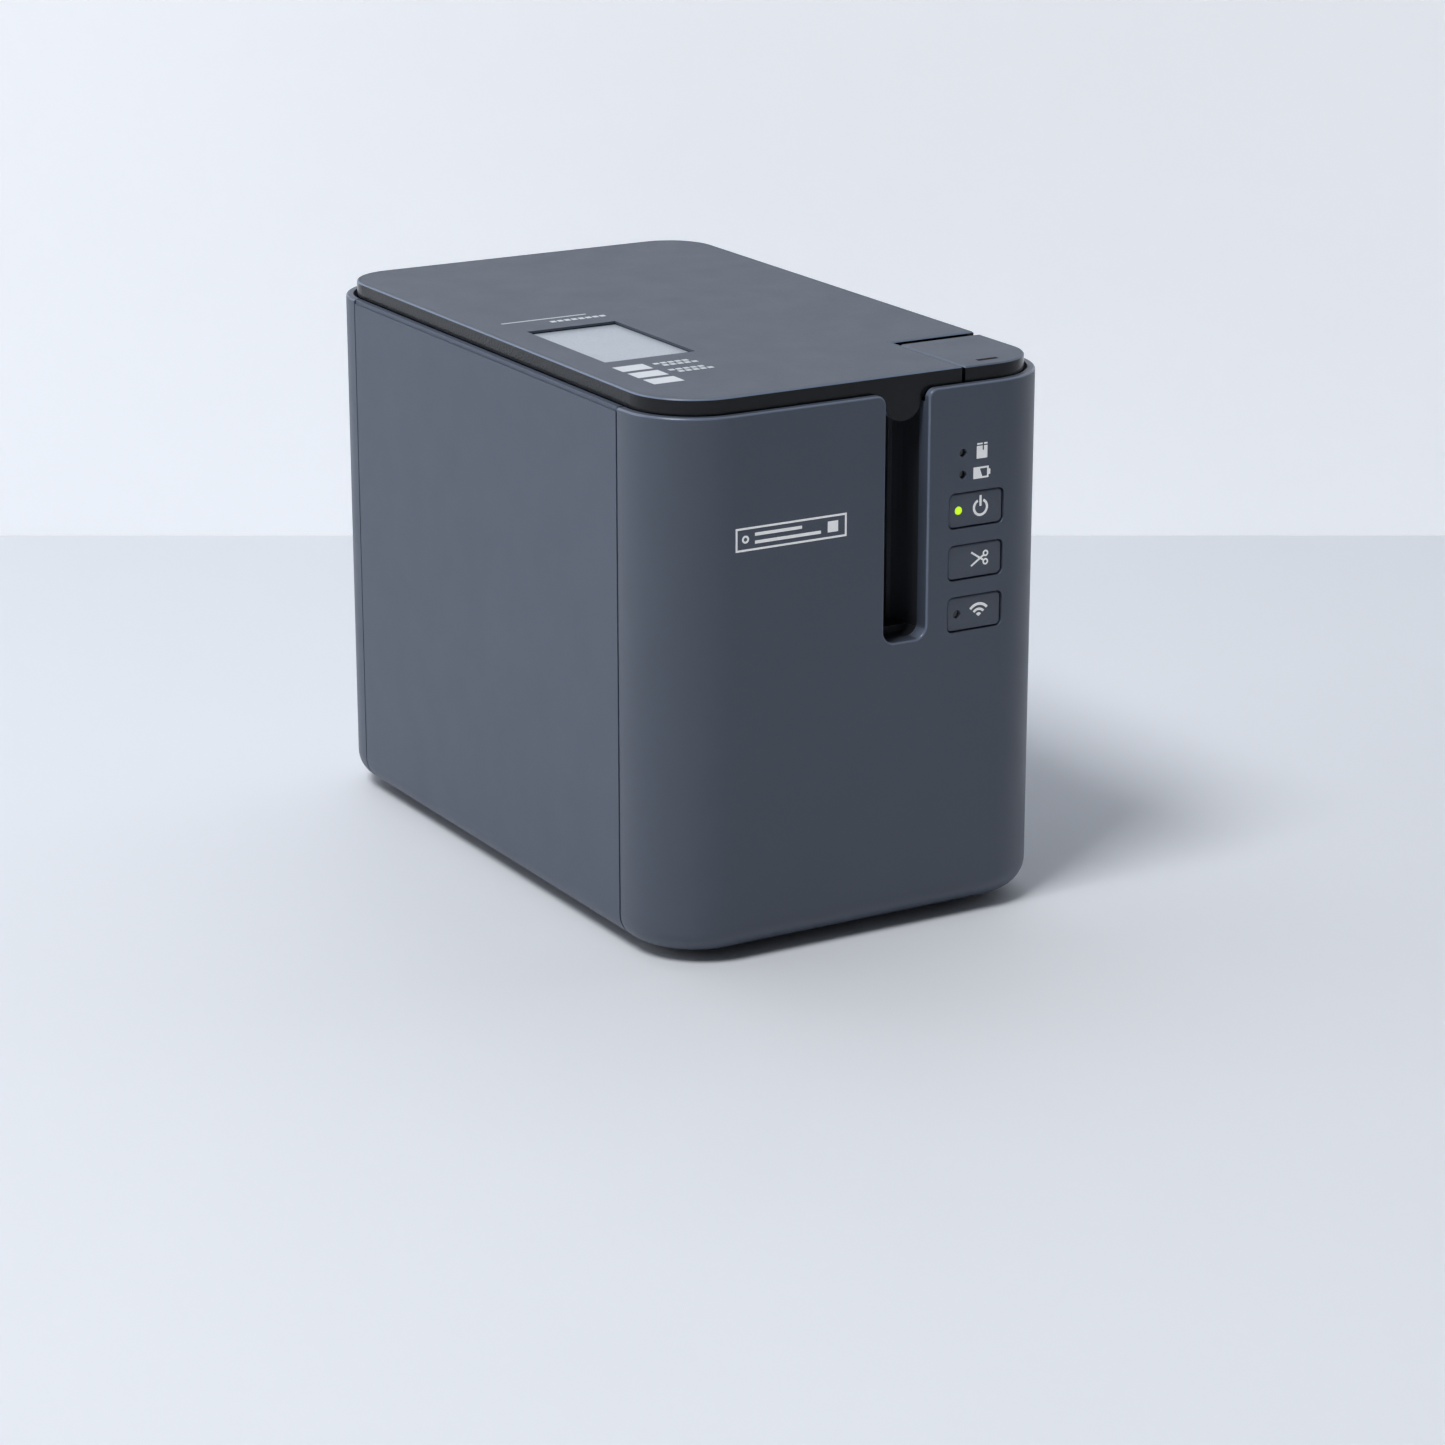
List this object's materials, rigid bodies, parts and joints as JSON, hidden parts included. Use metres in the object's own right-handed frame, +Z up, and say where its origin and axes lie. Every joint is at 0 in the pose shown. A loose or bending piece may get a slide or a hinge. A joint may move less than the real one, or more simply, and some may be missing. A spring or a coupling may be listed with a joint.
{
  "type": "label maker",
  "caption": "Desktop label printer with a hinged lid and window, an upright label channel in front, push buttons and rear sockets, with its print and cutter mechanism inside.",
  "frame": {"origin": "on the table, under the middle of the machine", "axes": "+X to the right seen from the front, -Y out of the front, +Z up"},
  "size_m": [0.118, 0.192, 0.146],
  "materials": {
    "front_shell": "fine grained dark slate",
    "side_shell": "fine grained blue-grey",
    "dark_plastic": "satin near-black",
    "gloss_frame": "polished black",
    "lid_sheet": "textured dark grey",
    "window": "smoked clear sheet over a pale cassette",
    "button_plastic": "satin slate",
    "lens_green": "lit lens",
    "lens_dark": "unlit lens",
    "foot_rubber": "matt",
    "roller_rubber": "ground smooth",
    "steel": "zinc plated",
    "tool_steel": "ground",
    "aluminium": "extruded",
    "ceramic_head": "glazed",
    "gear_plastic": "moulded acetal",
    "brass": "machined",
    "motor_metal": "zinc plated can",
    "circuit_board": "green solder mask",
    "cable_film": "laminated film",
    "cassette_plastic": "pale grey",
    "spool_plastic": "moulded white",
    "tape": "laminated tape",
    "ribbon": "wound ink film",
    "socket_metal": "tin plated"
  },
  "bodies": {
    "casing": {"front_cover": "front_shell", "label_guide": "dark_plastic", "left_panel": "side_shell", "right_panel": "side_shell", "rear_cover": "side_shell", "bottom_case": "dark_plastic", "rubber_feet": "foot_rubber", "inner_deck": "dark_plastic", "hinge_pins": "steel", "latch_pin": "steel", "latch_spring": "steel", "status_lamps": "lens_dark", "panel_board": "circuit_board", "frame_plate": "steel", "print_head": "ceramic_head", "heat_sink": "aluminium", "head_cable": "cable_film", "feed_motor": "motor_metal", "cutter_frame": "steel", "fixed_blade": "tool_steel", "cutter_motor": "motor_metal", "cassette_base": "cassette_plastic", "cassette_cover": "cassette_plastic", "spool_studs": "cassette_plastic", "label_tape": "tape", "main_board": "circuit_board", "dc_jack": "dark_plastic", "usb_b_port": "socket_metal", "usb_a_port": "socket_metal", "lan_port": "socket_metal", "serial_port": "dark_plastic", "plate_screws": "steel", "board_screws": "steel", "deck_screws": "steel"},
    "lid_body": {"lid": "gloss_frame", "lid_panel": "lid_sheet", "lid_window": "window", "lid_liner": "dark_plastic"},
    "release_body": {"release_button": "button_plastic"},
    "lever_body": {"latch_lever": "gear_plastic"},
    "power_body": {"power_button": "button_plastic", "power_lamp": "lens_green"},
    "cut_body": {"cut_button": "button_plastic"},
    "wireless_body": {"wireless_button": "button_plastic", "wireless_lamp": "lens_dark"},
    "holder_body": {"roller_holder": "steel"},
    "platen_body": {"platen_shaft": "steel", "platen_rubber": "roller_rubber"},
    "feed_body": {"feed_shaft": "steel", "feed_rubber": "roller_rubber"},
    "carrier_body": {"carrier_gear": "gear_plastic"},
    "idler_body": {"idler_gear": "gear_plastic"},
    "pinion_body": {"motor_pinion": "brass"},
    "ribbon_body": {"ribbon_spindle": "gear_plastic", "ribbon_takeup": "ribbon"},
    "pinch_body": {"pinch_roller": "spool_plastic"},
    "supply_body": {"ribbon_supply": "ribbon"},
    "roll_body": {"tape_roll": "tape"},
    "blade_body": {"moving_blade": "tool_steel"},
    "blade_drive_body": {"cutter_pinion": "brass"}
  },
  "joints": [
    {"name": "lid_hinge", "type": "hinge", "parent": "casing", "child": "lid_body", "pos_m": [0, 0.0874, 0.1422], "axis": [-1, 0, 0], "range_deg": [0, 80]},
    {"name": "release_press", "type": "slide", "parent": "casing", "child": "release_body", "axis": [0, 0, -1], "range_m": [0, 0.002], "stiffness_N_per_m": 400, "deforming": ["latch_spring"]},
    {"name": "lever_turn", "type": "hinge", "parent": "casing", "child": "lever_body", "pos_m": [0.034, -0.064, 0.126], "axis": [0, 1, 0], "range_deg": [0, 14.5]},
    {"name": "power_press", "type": "slide", "parent": "casing", "child": "power_body", "axis": [0, 1, 0], "range_m": [0, 0.0008], "stiffness_N_per_m": 300},
    {"name": "cut_press", "type": "slide", "parent": "casing", "child": "cut_body", "axis": [0, 1, 0], "range_m": [0, 0.0008], "stiffness_N_per_m": 300},
    {"name": "wireless_press", "type": "slide", "parent": "casing", "child": "wireless_body", "axis": [0, 1, 0], "range_m": [0, 0.0008], "stiffness_N_per_m": 300},
    {"name": "holder_swing", "type": "hinge", "parent": "casing", "child": "holder_body", "pos_m": [0.024, -0.008, 0.1], "axis": [0, 0, 1], "range_deg": [0, 3.1]},
    {"name": "platen_spin", "type": "hinge", "parent": "holder_body", "child": "platen_body", "pos_m": [0.0173, -0.03, 0.086], "axis": [0, 0, 1], "continuous": true},
    {"name": "feed_spin", "type": "hinge", "parent": "holder_body", "child": "feed_body", "pos_m": [0.0165, -0.051, 0.086], "axis": [0, 0, 1], "continuous": true},
    {"name": "carrier_spin", "type": "hinge", "parent": "holder_body", "child": "carrier_body", "pos_m": [0.01688, -0.04105, 0.086], "axis": [0, 0, 1], "continuous": true},
    {"name": "idler_spin", "type": "hinge", "parent": "casing", "child": "idler_body", "pos_m": [0.00669, -0.02687, 0.086], "axis": [0, 0, 1], "continuous": true},
    {"name": "pinion_spin", "type": "hinge", "parent": "casing", "child": "pinion_body", "pos_m": [0.00529, -0.01893, 0.086], "axis": [0, 0, 1], "continuous": true},
    {"name": "ribbon_spin", "type": "hinge", "parent": "casing", "child": "ribbon_body", "pos_m": [-0.00602, -0.0124, 0.086], "axis": [0, 0, 1], "continuous": true},
    {"name": "pinch_spin", "type": "hinge", "parent": "casing", "child": "pinch_body", "pos_m": [0.0082, -0.051, 0.115], "axis": [0, 0, 1], "continuous": true},
    {"name": "supply_spin", "type": "hinge", "parent": "casing", "child": "supply_body", "pos_m": [-0.03, -0.033, 0.115], "axis": [0, 0, 1], "continuous": true},
    {"name": "roll_spin", "type": "hinge", "parent": "casing", "child": "roll_body", "pos_m": [-0.028, 0.008, 0.115], "axis": [0, 0, 1], "continuous": true},
    {"name": "blade_turn", "type": "hinge", "parent": "casing", "child": "blade_body", "pos_m": [0.015, -0.071, 0.086], "axis": [0, -1, 0], "range_deg": [0, 24]},
    {"name": "cutter_spin", "type": "hinge", "parent": "casing", "child": "blade_drive_body", "pos_m": [0.015, -0.071, 0.06694], "axis": [0, -1, 0], "range_deg": [-128.1, 0]}
  ],
  "couplings": [
    {"joint": "lever_turn", "follows": "release_press", "rad_per_m": 125},
    {"joint": "holder_swing", "follows": "lid_hinge", "ratio": 0.0375},
    {"joint": "carrier_spin", "follows": "platen_spin", "ratio": -1.2},
    {"joint": "feed_spin", "follows": "platen_spin", "ratio": 1.2},
    {"joint": "idler_spin", "follows": "platen_spin", "ratio": -1.2},
    {"joint": "pinion_spin", "follows": "platen_spin", "ratio": 2},
    {"joint": "ribbon_spin", "follows": "platen_spin", "ratio": -0.6},
    {"joint": "pinch_spin", "follows": "platen_spin", "ratio": -1.44},
    {"joint": "supply_spin", "follows": "platen_spin", "ratio": -0.5},
    {"joint": "roll_spin", "follows": "platen_spin", "ratio": -0.22727},
    {"joint": "cutter_spin", "follows": "blade_turn", "ratio": -5.3333}
  ]
}
